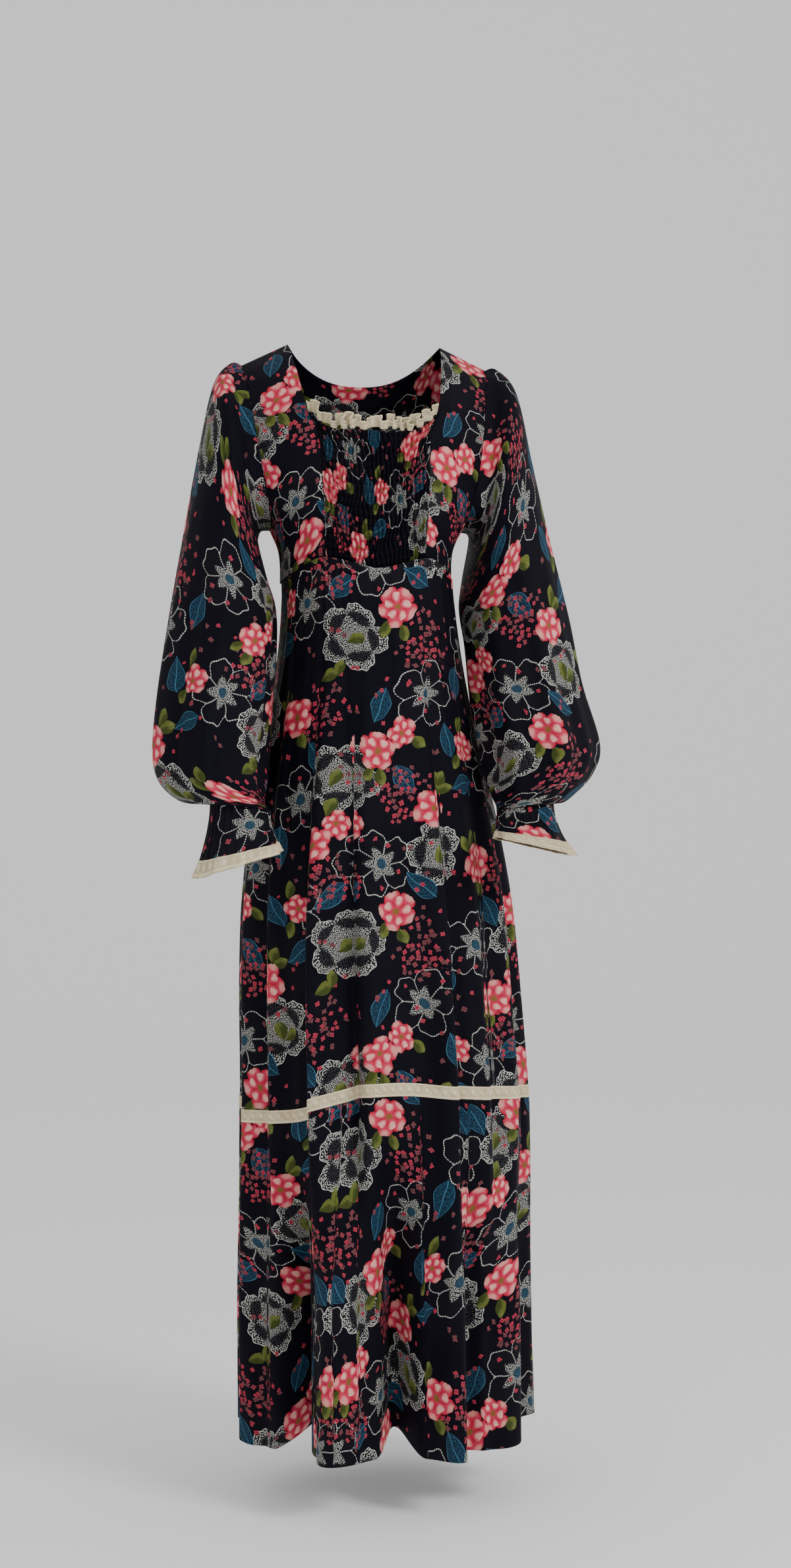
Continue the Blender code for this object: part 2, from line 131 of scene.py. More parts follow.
EMPIRE_SEAM = (
    # degrees from the middle of the front, z
    (0, -0.292),
    (32, -0.278),
    (60, -0.292),
    (90, -0.300),
    (180, -0.300),
)
SKIRT_FORM = (
    # z, half width, front, back, shift, roundness
    (-0.280, 0.107, 0.130, 0.082, 0.000, 2.5),
    (-0.315, 0.106, 0.129, 0.084, 0.002, 2.5),
    (-0.400, 0.115, 0.131, 0.108, 0.005, 2.3),
    (-0.500, 0.131, 0.134, 0.134, 0.006, 2.2),
    (-0.600, 0.146, 0.138, 0.142, 0.009, 2.2),
    (-0.700, 0.156, 0.142, 0.144, 0.012, 2.2),
    (-0.820, 0.160, 0.147, 0.148, 0.016, 2.2),
    (-0.940, 0.164, 0.150, 0.152, 0.021, 2.2),
    (-1.150, 0.168, 0.152, 0.156, 0.024, 2.2),
    (-1.400, 0.170, 0.154, 0.160, 0.027, 2.2),
)
# The model's folds, each with how far its top leans sideways over the cloth beside it.
SKIRT_RIDGES = (
    # degrees, height, before, after, lean
    (-104, 0.016, 15, 12, 0.000),
    (-76, 0.020, 14, 12, -0.004),
    (-57, 0.011, 5, 6, -0.004),
    (-29, 0.027, 7, 14, -0.012),
    (-8, 0.021, 8, 16, -0.007),
    (19, 0.018, 9, 6, 0.008),
    (38, 0.012, 12, 10, 0.000),
    (60, 0.018, 11, 12, 0.004),
    (84, 0.022, 14, 12, 0.000),
    (108, 0.014, 10, 14, -0.003),
    (131, 0.024, 13, 9, 0.007),
    (152, 0.015, 10, 11, 0.000),
    (173, 0.026, 10, 13, -0.006),
    (197, 0.018, 10, 8, 0.005),
    (219, 0.023, 9, 14, -0.006),
    (240, 0.015, 10, 9, 0.000),
)
FLOUNCE_RIDGES = (
    # degrees, height, before, after, lean
    (-108, 0.020, 14, 12, 0.000),
    (-78, 0.022, 14, 14, 0.000),
    (-47, -0.058, 13, 11, 0.000),
    (-22, 0.046, 15, 14, -0.010),
    (-1, -0.050, 9, 9, 0.000),
    (16, 0.038, 10, 9, 0.008),
    (30, -0.016, 7, 8, 0.000),
    (52, 0.020, 15, 13, 0.000),
    (83, 0.018, 14, 12, 0.004),
    (104, -0.030, 11, 11, 0.000),
    (126, 0.032, 13, 12, 0.006),
    (148, -0.026, 11, 11, 0.000),
    (170, 0.034, 13, 13, -0.006),
    (194, -0.030, 12, 11, 0.000),
    (216, 0.030, 12, 13, 0.005),
    (236, -0.022, 9, 10, 0.000),
)
# Cloth that is tucked out of sight behind the edge of an overlapping fold.
SKIRT_TUCKS = (
    # degrees, width
    (-62, 0.022),
    (-36, 0.034),
    (25, 0.028),
    (50, 0.020),
    (123, 0.020),
    (167, 0.026),
    (-154, 0.020),
    (-132, 0.024),
)
FLOUNCE_TUCKS = (
    # degrees, width
    (-62, 0.018),
    (-36, 0.030),
    (-14, 0.018),
    (8, 0.020),
    (25, 0.026),
    (60, 0.018),
    (115, 0.020),
    (160, 0.024),
    (-150, 0.022),
)
HEM_RISES = (
    # degrees, height, before, after
    (-95, 0.012, 28, 26),
    (-47, 0.034, 13, 12),
    (-1, 0.028, 9, 9),
    (76, 0.022, 34, 36),
    (126, 0.010, 12, 12),
    (170, 0.016, 20, 20),
    (-140, 0.014, 16, 16),
)
BAND_LEVEL = (
    # degrees, z
    (-180, -0.950),
    (-105, -0.958),
    (-80, -0.966),
    (-52, -0.962),
    (-38, -0.955),
    (-27, -0.940),
    (-8, -0.924),
    (20, -0.930),
    (60, -0.938),
    (100, -0.946),
    (180, -0.950),
)
SLEEVE_RINGS = {
    # outer x, outer z, inner x, inner z, y, half depth
    "left": (
        (0.191, -0.062, 0.136, -0.262, 0.002, 0.082),
        (0.211, -0.146, 0.126, -0.298, -0.004, 0.084),
        (0.230, -0.246, 0.119, -0.333, -0.022, 0.082),
        (0.247, -0.346, 0.126, -0.385, -0.046, 0.080),
        (0.258, -0.430, 0.133, -0.450, -0.062, 0.083),
        (0.276, -0.505, 0.142, -0.515, -0.080, 0.084),
        (0.267, -0.542, 0.146, -0.548, -0.090, 0.078),
        (0.243, -0.568, 0.149, -0.572, -0.106, 0.066),
        (0.226, -0.578, 0.148, -0.582, -0.126, 0.050),
        (0.214, -0.573, 0.146, -0.588, -0.136, 0.034),
    ),
    "right": (
        (0.191, -0.062, 0.136, -0.262, 0.002, 0.082),
        (0.211, -0.146, 0.126, -0.298, -0.004, 0.084),
        (0.230, -0.246, 0.117, -0.333, -0.020, 0.084),
        (0.248, -0.346, 0.120, -0.385, -0.044, 0.082),
        (0.261, -0.430, 0.130, -0.450, -0.062, 0.083),
        (0.269, -0.510, 0.138, -0.520, -0.080, 0.084),
        (0.264, -0.550, 0.140, -0.554, -0.092, 0.078),
        (0.243, -0.574, 0.141, -0.574, -0.110, 0.066),
        (0.220, -0.579, 0.138, -0.582, -0.130, 0.052),
        (0.205, -0.573, 0.134, -0.588, -0.142, 0.034),
    ),
}
SLEEVE_RIDGES = (
    # degrees, height, before, after
    (20, 0.007, 26, 30),
    (80, 0.010, 28, 26),
    (132, 0.008, 24, 22),
    (182, 0.009, 26, 28),
    (236, 0.010, 26, 26),
    (300, 0.009, 32, 30),
)
CUFF_FRILLS = {
    # side: (x, y, z, half width, half depth, how much lower the outer side is)
    "left": (0.003, -0.044, -0.048, 0.046, 0.036, 0.020),
    "right": (0.002, -0.018, -0.068, 0.051, 0.036, 0.030),
}
CUFF_FLUTES = 5


# Curves and folds. Keys and angles may be single numbers or arrays.


def wave(share):
    """1 at share 0, falling smoothly to 0 at share 1 and beyond."""
    return 0.5 + 0.5 * np.cos(np.pi * np.minimum(1.0, np.abs(share)))


def mix(a, b, share):
    return a + (b - a) * share


def look_up(table, key):
    """The columns of a table after its first, at key, along a smooth curve through the rows."""
    rows = np.array(sorted(table), float)
    at, last = rows[:, 0], len(rows) - 1
    key = np.clip(np.asarray(key, float), at[0], at[-1])
    i = np.clip(np.searchsorted(at, key, side="right") - 1, 0, last - 1)
    before, after = np.maximum(i - 1, 0), np.minimum(i + 2, last)
    span = at[i + 1] - at[i]
    t = (key - at[i]) / span

    def column(c):
        low, high = rows[i, c], rows[i + 1, c]
        slope_low = (high - rows[before, c]) / (at[i + 1] - at[before]) * span
        slope_high = (rows[after, c] - low) / (at[after] - at[i]) * span
        hump = (slope_low * (1 - t) - slope_high * t) * t * (1 - t)
        return mix(low, high, t * t * (3 - 2 * t)) + hump

    return [column(c) for c in range(1, rows.shape[1])]


def turn(angle):
    """An angle brought between -180 and 180 degrees."""
    return (angle + 180) % 360 - 180


def folds(ridges, angle, column=1):
    """The sum of one column of a table of ridges at this angle, each falling away on both sides."""
    total = np.zeros_like(np.asarray(angle, float))
    for ridge in ridges:
        away = turn(angle - ridge[0])
        total = total + ridge[column] * wave(away / np.where(away > 0, ridge[3], ridge[2]))
    return total


def stack(x, y, z):
    return np.stack(np.broadcast_arrays(x, y, z), axis=-1).astype(float)


def length(vectors):
    return np.sqrt((vectors**2).sum(-1))


def unit(vectors):
    return vectors / np.maximum(length(vectors), 1e-9)[..., None]


def ripples(turns, down, seed, *counts):
    """Uneven soft ripples from -1 to 1 that run down the cloth, this many of each kind in a turn."""
    total, turns = 0.0, 2 * np.pi * np.asarray(turns, float)
    for n, count in enumerate(counts):
        drift = 1.3 * np.sin(turns * (2 + n) + 2.0 * n + seed) + 1.6 * np.sin(3.1 * down + seed + n)
        strength = 0.7 + 0.3 * np.sin(turns * (3 + n) + 5.0 * down + seed * (2 + n))
        total = total + strength * np.sin(turns * count + seed * (1.7 + n) + drift)
    return total / len(counts)


# The bodice.


def shoulder_z(x):
    return -SHOULDER_SLOPE * np.maximum(np.abs(x) - NECK_X, 0)


def bodice_point(x, z, back=False):
    """The bodice's form in front of or behind (x, z)."""
    front_depth, back_depth = look_up(BODICE_DEPTH, shoulder_z(x) - z)
    half_width, _ = look_up(BODICE_SIDES, z)
    inside = np.maximum(0.0, 1 - np.minimum(1.0, np.abs(x) / half_width) ** ROUNDNESS)
    depth = (back_depth if back else front_depth) * inside ** (1 / ROUNDNESS)
    ridge = RIDGE_Y * np.minimum(1, inside * 2)
    return stack(x, ridge + depth if back else ridge - depth, z)


def empire_z(x, back=False):
    share = np.minimum(1.0, np.abs(x) / look_up(BODICE_SIDES, -0.29)[1])
    angle = np.degrees(np.arcsin(share ** (ROUNDNESS / 2)))
    return look_up(EMPIRE_SEAM, 180 - angle if back else angle)[0]


def across(inner, outer, share, form):
    """x from inner to outer, with the steps closer together where the form turns away to the side."""
    a, b = (np.arcsin(np.minimum(1.0, x / form) ** (ROUNDNESS / 2)) for x in (inner, outer))
    return form * np.sin(mix(a, b, share)) ** (2 / ROUNDNESS)


def side_panel(u, v):
    """The side panel at +X: u from the opening to the armhole or side seam, v from the shoulder down."""
    z_in = mix(0.0, empire_z(SHIRRED_X), v)
    z_out = mix(shoulder_z(SHOULDER_X), empire_z(SIDE_X), v)
    x_in = look_up(FRONT_OPENING, z_in)[0]
    form, x_out = look_up(BODICE_SIDES, z_out)
    x = across(x_in, x_out, u, np.maximum(form, x_out))
    return bodice_point(x, mix(shoulder_z(x), empire_z(x), v))


def back_panel(u, v):
    """The back: u from -1 to 1 across, v from the neckline and shoulder seams down to the empire seam."""
    z_out = mix(shoulder_z(SHOULDER_X), empire_z(SIDE_X, True), v)
    form, x_out = look_up(BODICE_SIDES, z_out)
    x = np.sign(u) * across(0, x_out, np.abs(u), np.maximum(form, x_out))
    neckline = -BACK_NECK_DROP * (1 - np.minimum(1, np.abs(x) / NECK_X) ** 2.4)
    top = np.where(np.abs(x) >= NECK_X, shoulder_z(x), neckline)
    return bodice_point(x, mix(top, empire_z(x, True), v), back=True)


def shirred_panel(u, v):
    """The shirred front panel: u from -1 to 1 across, v from the neckline to the empire seam."""
    z_edge = mix(NECK_FRONT_Z, empire_z(SHIRRED_X), v)
    x = u * look_up(FRONT_OPENING, z_edge)[0]
    return bodice_point(x, mix(NECK_FRONT_Z - NECK_SAG * (1 - np.abs(u) ** 5), empire_z(x), v))


def armhole(angle, side):
    """The armhole: 0 at the shoulder, 90 in front, 180 under the arm, 270 behind."""
    share = (1 - np.cos(np.radians(angle))) / 2
    z = mix(shoulder_z(SHOULDER_X), UNDERARM_Z, share)
    x = look_up(BODICE_SIDES, z)[1]
    y = np.where(angle % 360 > 180, bodice_point(x, z, back=True)[..., 1], bodice_point(x, z)[..., 1])
    y = np.where(share < 1e-6, RIDGE_Y, np.where(share > 1 - 1e-6, 0.0, y))
    return stack(side * x, y, z)


# The sleeves. A side is 1 for the wearer's left, at +X, and -1 for the right.


def sleeve_path(rings, angle, side):
    """The points that the sleeve's lengthwise threads pass, one after another."""
    start = armhole(angle, side)
    c, s = np.cos(np.radians(angle)), np.sin(np.radians(angle))
    points = [start, start + (side * 0.013, 0, -0.003)]
    for out_x, out_z, in_x, in_z, y, half_depth in rings:
        x = (out_x + in_x) / 2 + (out_x - in_x) / 2 * c
        points.append(stack(side * x, y - half_depth * s, (out_z + in_z) / 2 + (out_z - in_z) / 2 * c))
    return np.stack(points)


def along(points, share):
    """Points on the smooth curves through these, evenly spaced by their number. Share is one number."""
    at = share * (len(points) - 1)
    i = min(int(at), len(points) - 2)
    t = at - i
    before, low, high, after = (points[min(max(k, 0), len(points) - 1)] for k in (i - 1, i, i + 1, i + 2))
    return (
        low * 2
        + (high - before) * t
        + (before * 2 - low * 5 + high * 4 - after) * t * t
        + (low * 3 - before - high * 3 + after) * t**3
    ) / 2


def sleeve_rows(name, side, angles, count):
    """The sleeve's rows from the armhole to the wrist, with its soft long folds and its gathers."""
    rings = SLEEVE_RINGS[name]
    path = sleeve_path(rings, angles, side)
    ends = sleeve_path(rings, np.array([0.0, 180.0]), side)
    rows = []
    for share in np.linspace(0, 1, count):
        row = along(path, share)
        way_out = unit(row - along(ends, share).mean(0))
        fullness = wave((share - 0.62) / 0.34)
        turned = angles + 14 * math.sin(2.2 * share + side)
        ridge = folds(SLEEVE_RIDGES, angles) * fullness
        ridge += 0.0035 * ripples(turned / 360, share, 3.0 + side, 9, 14) * wave((share - 0.6) / 0.42)
        near_wrist = math.exp(-(1 - share) / 0.10)
        ridge += 0.0026 * ripples(angles / 360, share, 5.0 + side, 26, 34) * near_wrist
        near_armhole = math.exp(-share / 0.10)
        gathers = 0.0012 * ripples(angles / 360, share, 8.0 + side, 22, 31)
        ridge += gathers * near_armhole * wave(1 - share * 16)
        # the sleeve's head stands up a little beyond the shoulder
        head = 0.005 * math.exp(-(((share - 0.14) / 0.10) ** 2)) * wave(angles / 80)
        rows.append(row + way_out * (ridge + head)[:, None] + stack(0 * head, 0, head * 0.3))
    return np.stack(rows)


def cuff_rows(name, side, angles, shares):
    """The frill below the wrist, from its gathers at share 0 to its free edge at share 1."""
    x, y, z, half_width, half_depth, lower = CUFF_FRILLS[name]
    out_x, out_z, in_x, in_z, wrist_y, wrist_depth = SLEEVE_RINGS[name][-1]
    c, s = np.cos(np.radians(angles)), np.sin(np.radians(angles))
    rows = []
    for share in shares:
        flare = share**1.8
        flute = 1 + 0.08 * flare * np.cos(np.radians(angles) * CUFF_FLUTES + 0.8)
        flute += 0.05 * flare * ripples(angles / 360, share, 4.0 + side, 11, 17)
        flute += 0.03 * (1 - share) * ripples(angles / 360, share, 6.0 + side, 29)
        wide = mix((out_x - in_x) / 2, half_width, flare) * flute
        deep = mix(wrist_depth, half_depth, flare) * flute
        drop = mix((out_z - in_z) / 2, -lower / 2, share)
        rows.append(
            stack(
                side * ((out_x + in_x) / 2 + x * flare + wide * c),
                wrist_y + y * flare - deep * s,
                (out_z + in_z) / 2 + z * share + drop * c,
            )
        )
    return np.stack(rows)


# The skirt. Angles start at the middle of the front and pass the +X side at 90 degrees.


def band_z(angle):
    return look_up(BAND_LEVEL, turn(angle))[0]


def skirt_fullness(z):
    """How much of the folds' depth shows at z: little at the empire seam, all of it at the lace band."""
    return np.where(z > -0.86, wave((z + 0.86) / 0.52), 1.0)


def form_point(angle, z, ridge, lean):
    """A point of the skirt's form, moved out by a ridge's height and sideways by its lean."""
    half_width, front, back, shift, roundness = look_up(SKIRT_FORM, z)
    s, c = np.sin(np.radians(angle)), np.cos(np.radians(angle))
    depth = np.where(c > 0, front, back)
    exponent = 2 / roundness
    x = half_width * np.sign(s) * np.abs(s) ** exponent
    y = -depth * np.sign(c) * np.abs(c) ** exponent
    out = unit(stack(s / half_width, -c / depth, 0.0))
    return stack(
        x + shift + out[..., 0] * ridge - out[..., 1] * lean, y + out[..., 1] * ridge + out[..., 0] * lean, z
    )


def soft_ripples(angle, z):
    """Shallow uneven folds all over the skirt and flounce, deeper towards the hem."""
    depth = mix(0.0012, 0.0030, np.clip((-0.35 - z) / 0.9, 0, 1))
    return depth * ripples(angle / 360, z * 2, 2.0, 31, 23, 47)


def skirt_point(angle, z):
    fullness = skirt_fullness(z)
    top = look_up(EMPIRE_SEAM, np.abs(turn(angle)))[0]
    below = np.maximum(top - z, 0)
    gathers = 0.0022 * ripples(angle / 360, z * 6, 7.0, 74, 58) * np.exp(-below / 0.06)
    gathers = gathers * np.minimum(1, below / 0.006)
    soft = soft_ripples(angle, z) * np.minimum(1, below / 0.05)
    ridge = folds(SKIRT_RIDGES, angle) * fullness + gathers + soft
    return form_point(angle, z, ridge, folds(SKIRT_RIDGES, angle, 4) * fullness)


def flounce_point(angle, z):
    """The flounce starts with the skirt's folds, at the lace band, and falls into its own."""
    top = band_z(angle)
    own = np.clip((top - z) / (top - HEM_Z), 0, 1)
    share = wave(1 - np.minimum(1, own * 1.6))
    ridge = mix(folds(SKIRT_RIDGES, angle), folds(FLOUNCE_RIDGES, angle), share)
    lean = mix(folds(SKIRT_RIDGES, angle, 4), folds(FLOUNCE_RIDGES, angle, 4), share)
    below = np.maximum(top - z, 0)
    gathers = 0.0024 * ripples(angle / 360, z * 6, 9.0, 92, 71) * np.exp(-below / 0.05)
    gathers = gathers * np.minimum(1, below / 0.01)
    return form_point(angle, z, ridge + gathers + soft_ripples(angle, z), lean)


def even_angles(middle, count, surface, z):
    """Angles across a skirt panel that are evenly spaced along the cloth at height z."""
    inset = math.degrees(SEAM_GAP / 2 / 0.13)
    fine = np.linspace(middle - 90 + inset, middle + 90 - inset, 4 * count)
    steps = length(np.diff(surface(fine, np.full_like(fine, z)), axis=0))
    reach = np.concatenate([[0], np.cumsum(steps)])
    even = np.linspace(0, reach[-1], count)
    return np.interp(even, reach, fine)


# Making the pieces.


def cloth_piece(name, rows, uv, thickness, finish, nodes, closed=False):
    """A thin shell of cloth on a grid of points (rows, columns, xyz), with its flat place in the uv map.

    The rows run from left to right as they are seen from outside, and follow each other downwards.
    """
    count, wide = rows.shape[:2]
    corners = ((0, 0), (1, 0), (1, 1), (0, 1))
    r, c = np.meshgrid(np.arange(count - 1), np.arange(wide - 1), indexing="ij")
    columns = wide - 1 if closed else wide  # a tube's last column is its first, come again for the uv map
    points = rows[:, :columns].reshape(-1, 3)
    faces = np.stack([(r + a) * columns + (c + b) % columns for a, b in corners], axis=-1).reshape(-1, 4)
    places = np.stack([uv[r + a, c + b] for a, b in corners], axis=2).reshape(-1, 2)
    mesh = bpy.data.meshes.new(name)
    mesh.from_pydata(points.tolist(), [], faces.tolist())
    layer = mesh.uv_layers.new(name="Cloth")
    layer.data.foreach_set("uv", places.astype(np.float32).ravel())
    mesh.materials.append(finish)
    mesh.shade_smooth()
    piece = bpy.data.objects.new(name, mesh)
    bpy.context.scene.collection.objects.link(piece)
    wall = piece.modifiers.new("wall", "SOLIDIFY")
    wall.thickness = thickness
    wall.offset = 0
    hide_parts(*nodes)
    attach(piece, BODY)
    return piece


def flat_places(rows, start=(0.0, 0.0), stretch=(1.0, 1.0), level=None, hidden=None):
    """Where each point of a grid lies on the flat cloth: u across, and v down from its first row.

    u is measured along every row, from its middle, or along the row at one level only. Hidden is more width,
    tucked away behind folds.
    """
    steps = length(np.diff(rows, axis=1))
    if level is not None:
        steps = np.broadcast_to(steps[int(level * (len(rows) - 1))], steps.shape)
    u = np.concatenate([np.zeros((len(rows), 1)), np.cumsum(steps, axis=1)], axis=1)
    if hidden is not None:
        u = u + hidden
    if level is None:
        u = u - (u[:, -1:] + u[:, :1]) / 2
    v = np.concatenate([[0], np.cumsum(length(np.diff(rows, axis=0)).mean(1))])
    down = np.broadcast_to((start[1] - v * stretch[1])[:, None], u.shape)
    return np.stack([start[0] + u * stretch[0], down], axis=-1)


def grid(u_values, v_values):
    """Every pair of these, as two arrays whose rows share a v."""
    return np.meshgrid(np.asarray(u_values, float), np.asarray(v_values, float))


def surface_normals(rows, closed=False):
    """The way out of a grid of points."""
    if closed:
        wrapped = np.concatenate([rows[:, -2:-1], rows, rows[:, 1:2]], axis=1)
        sideways = wrapped[:, 2:] - wrapped[:, :-2]
    else:
        sideways = np.gradient(rows, axis=1)
    return unit(np.cross(sideways, -np.gradient(rows, axis=0)))


def moved_out(rows, distance, closed=False):
    return rows + surface_normals(rows, closed) * distance


def build_bodice(finish, shirring, lace):
    u, v = grid(np.linspace(0, 1, 44), np.linspace(0, 1, 96))
    rows = side_panel(u, v)
    # soft puckers along the shirred panel's border and a little slack towards the armhole
    border = np.exp(-u / 0.10) * ripples(v * 0.9, u, 4.0, 17, 12)
    slack = ripples(v * 0.5 + u * 0.35, u, 6.0, 5, 8) * np.clip(v * 4, 0, 1) * np.clip((1 - v) * 5, 0, 1)
    rows = rows + surface_normals(rows) * (0.0010 * border + 0.0011 * slack)[..., None]
    uv = flat_places(rows, start=(0.31, 1.22))
    left = cloth_piece("side_front_left_cloth", rows, uv, CLOTH, finish, ["side_front_left"])
    mirrored = rows[:, ::-1] * (-1, 1, 1)
    uv = flat_places(mirrored, start=(0.02, 1.31))
    right = cloth_piece(
        "side_front_right_cloth", mirrored, uv, CLOTH, finish, ["side_front_right"]
    )

    u, v = grid(np.linspace(1, -1, 120), np.linspace(0, 1, 96))
    rows = back_panel(u, v)
    slack = ripples(u * 0.35 + v * 0.2, v, 3.0, 6, 9) * np.clip(v * 4, 0, 1) * np.clip((1 - v) * 5, 0, 1)
    rows = rows + surface_normals(rows) * (0.0010 * slack)[..., None]
    uv = flat_places(rows, start=(0.08, 0.77))
    back = cloth_piece("back_bodice_cloth", rows, uv, CLOTH, finish, ["back_bodice"])

    # The shirred panel: rows of elastic draw it in, and between them it stands out in small pleats.
    u, v = grid(np.linspace(-1, 1, 240), np.linspace(0, 1, 154))
    rows = shirred_panel(u, v)
    between = np.abs(np.sin(np.pi * ELASTIC_ROWS * v))  # 0 on each row of elastic
    across_panel = u * look_up(FRONT_OPENING, rows[..., 2])[0]
    drift = 1.7 * np.sin(ELASTIC_ROWS * v * 0.9 + u * 5) + 1.3 * np.sin(u * 9 + v * 30)
    pleat = np.sin(2 * np.pi * across_panel / PLEAT_PITCH + drift)
    at_border = np.clip((1 - np.abs(u)) * 14, 0.15, 1)
    puff = PUFF_DEPTH * between**0.6 + PLEAT_DEPTH * pleat * (0.35 + 0.65 * between) * at_border
    rows = rows + surface_normals(rows) * (puff - 0.0012)[..., None]
    flat = flat_places(shirred_panel(u, v), start=(0.0, 1.70), stretch=SHIRRING, level=0.5)
    middle = cloth_piece(
        "shirred_panel_cloth", rows, flat, CLOTH, shirring, ["shirred_panel"]
    )

    # The frill stands on the neckline, leans out, curls, and wanders up and down.
    steps = np.linspace(-0.985, 0.985, 420)
    u, v = grid(steps, np.linspace(0, 1, 12))
    base = shirred_panel(u, np.zeros_like(u))
    turns = (u + 1) / 2
    phase = 2 * np.pi * (FRILL_CURLS * turns + 0.45 * np.sin(7 * turns) + 0.30 * np.sin(17 * turns + 1))
    strength = 0.75 + 0.25 * np.sin(23 * turns + 2)
    wander = FRILL_WANDER * strength * np.cos(phase) + 0.0022 * np.sin(2 * np.pi * 3.5 * turns + 1)
    small = ripples(turns, v, 5.0, 27, 38) * v
    side = 0.0050 * strength * (0.4 + 0.6 * v) * np.sin(2 * phase)
    rise = 0.0016 + FRILL_HEIGHT * v + wander * (0.55 + 0.6 * v)
    rise = rise + 0.0008 * np.abs(np.sin(np.pi * turns * 60)) * np.clip(v * 6 - 5, 0, 1)
    curl = FRILL_CURL_DEPTH * strength * (0.3 + 0.7 * v) * np.sin(phase)
    out = -0.0026 - 0.0046 * v - curl - 0.0010 * small
    # where it drops below the neckline, it passes in front of the shirred panel
    out = np.minimum(out, -0.0018) - 1.3 * np.clip(-rise, 0, None)
    rows = (base + stack(side, out, rise))[::-1]
    uv = flat_places(rows)
    frill = cloth_piece("neck_frill_lace", rows, uv, LACE, lace, ["neck_frill"])


def build_sleeve(name, side, finish, lace):
    angles = -180.0 + np.linspace(0, 360, 171)
    if side > 0:
        angles = angles[::-1]
    rows = sleeve_rows(name, side, angles, 150)
    uv = flat_places(rows, start=(0.18, 1.03) if side > 0 else (0.06, 0.80))
    sleeve = cloth_piece(
        f"sleeve_{name}_cloth",
        rows,
        uv,
        CLOTH,
        finish,
        [f"sleeve_front_{name}", f"sleeve_back_{name}"],
        closed=True,
    )

    angles = -180.0 + np.linspace(0, 360, 181)
    if side > 0:
        angles = angles[::-1]
    frill = cuff_rows(name, side, angles, np.linspace(0, 1, 34))
    uv = flat_places(frill, start=(0.11, 0.31 if side > 0 else 0.62))
    cuff = cloth_piece(
        f"cuff_frill_{name}_cloth",
        frill,
        uv,
        CLOTH,
        finish,
        [f"cuff_frill_{name}"],
        closed=True,
    )
    depth = length(frill[-1] - frill[0]).mean()
    trim = cuff_rows(name, side, angles, np.linspace(1 - CUFF_LACE_HEIGHT / depth, 1.05, 14))
    trim = moved_out(trim, CLOTH + LACE / 2, closed=True)
    uv = flat_places(trim)
    edging = cloth_piece(
        f"cuff_lace_{name}_lace", trim, uv, LACE, lace, [f"cuff_lace_{name}"], closed=True
    )


def tucked(tucks, angle):
    """How much width of cloth is out of sight behind the folds, up to this angle."""
    total = np.zeros_like(angle)
    for degrees, width in tucks:
        total = total + width * wave(1 - np.clip(turn(angle - degrees) + 0.5, 0, 1))
    return total


def build_skirt(finish, lace):
    bands = []
    half_band = LACE_BAND_HEIGHT / 2
    for name, middle, columns in (("front", 0, 216), ("back", 180, 176)):
        angles = even_angles(middle, columns, skirt_point, -0.93)
        angle, share = grid(angles, np.linspace(0, 1, 184 if middle == 0 else 150))
        seam = band_z(angle)
        top = look_up(EMPIRE_SEAM, np.abs(turn(angle)))[0]
        rows = skirt_point(angle, mix(top, seam, share))
        hidden = tucked(SKIRT_TUCKS, angle) * skirt_fullness(rows[..., 2]) ** 0.5
        uv = flat_places(rows, start=(0.30, 2.40) if middle == 0 else (0.55, 1.9), hidden=hidden)
        skirt = cloth_piece(
            f"skirt_{name}_cloth", rows, uv, CLOTH, finish, [f"skirt_{name}"]
        )

        angles = even_angles(middle, columns, flounce_point, -1.25)
        angle, share = grid(angles, np.linspace(0, 1, 112 if middle == 0 else 90))
        rows = flounce_point(angle, mix(band_z(angle), HEM_Z + folds(HEM_RISES, angle), share))
        hidden = tucked(FLOUNCE_TUCKS, angle)
        uv = flat_places(rows, start=(0.33, 1.62) if middle == 0 else (0.02, 1.1), hidden=hidden)
        flounce = cloth_piece(
            f"flounce_{name}_cloth", rows, uv, CLOTH, finish, [f"flounce_{name}"]
        )

        angle = even_angles(middle, 260 if middle == 0 else 220, skirt_point, -0.93)
        above = [skirt_point(angle, band_z(angle) + half_band * s) for s in (1.0, 0.8, 0.6, 0.4, 0.2, 0.0)]
        below = [flounce_point(angle, band_z(angle) - half_band * s) for s in (0.2, 0.4, 0.6, 0.8, 1.0)]
        bands.append(np.stack(above + below))
    band = np.concatenate([bands[0], bands[1], bands[0][:, :1]], axis=1)
    band = moved_out(band, CLOTH + LACE / 2, closed=True)
    uv = flat_places(band)
    trim = cloth_piece("lace_band_lace", band, uv, LACE, lace, ["lace_band"], closed=True)


# The finishes. A Value is a number that changes over the cloth, worked out by shader nodes.


class Value:
    tree = None

    def __init__(self, socket):
        self.socket = socket

    def __add__(self, other):
        return work("ADD", self, other)

    def __radd__(self, other):
        return work("ADD", other, self)

    def __sub__(self, other):
        return work("SUBTRACT", self, other)

    def __rsub__(self, other):
        return work("SUBTRACT", other, self)

    def __mul__(self, other):
        return work("MULTIPLY", self, other)

    def __rmul__(self, other):
        return work("MULTIPLY", other, self)

    def __truediv__(self, other):
        return work("DIVIDE", self, other)

    def __abs__(self):
        return work("ABSOLUTE", self)


def node_of(kind, inputs, **settings):
    """A new node with these inputs, which are Values, sockets or plain numbers and tuples."""
    node = Value.tree.nodes.new(kind)
    for name, setting in settings.items():
        setattr(node, name, setting)
    for key, given in inputs.items():
        if isinstance(given, Value):
            Value.tree.links.new(given.socket, node.inputs[key])
        elif isinstance(given, bpy.types.NodeSocket):
            Value.tree.links.new(given, node.inputs[key])
        else:
            node.inputs[key].default_value = given
    return node


def work(kind, *inputs):
    return Value(node_of("ShaderNodeMath", dict(enumerate(inputs)), operation=kind).outputs[0])


def lower(a, b):
    return work("MINIMUM", a, b)


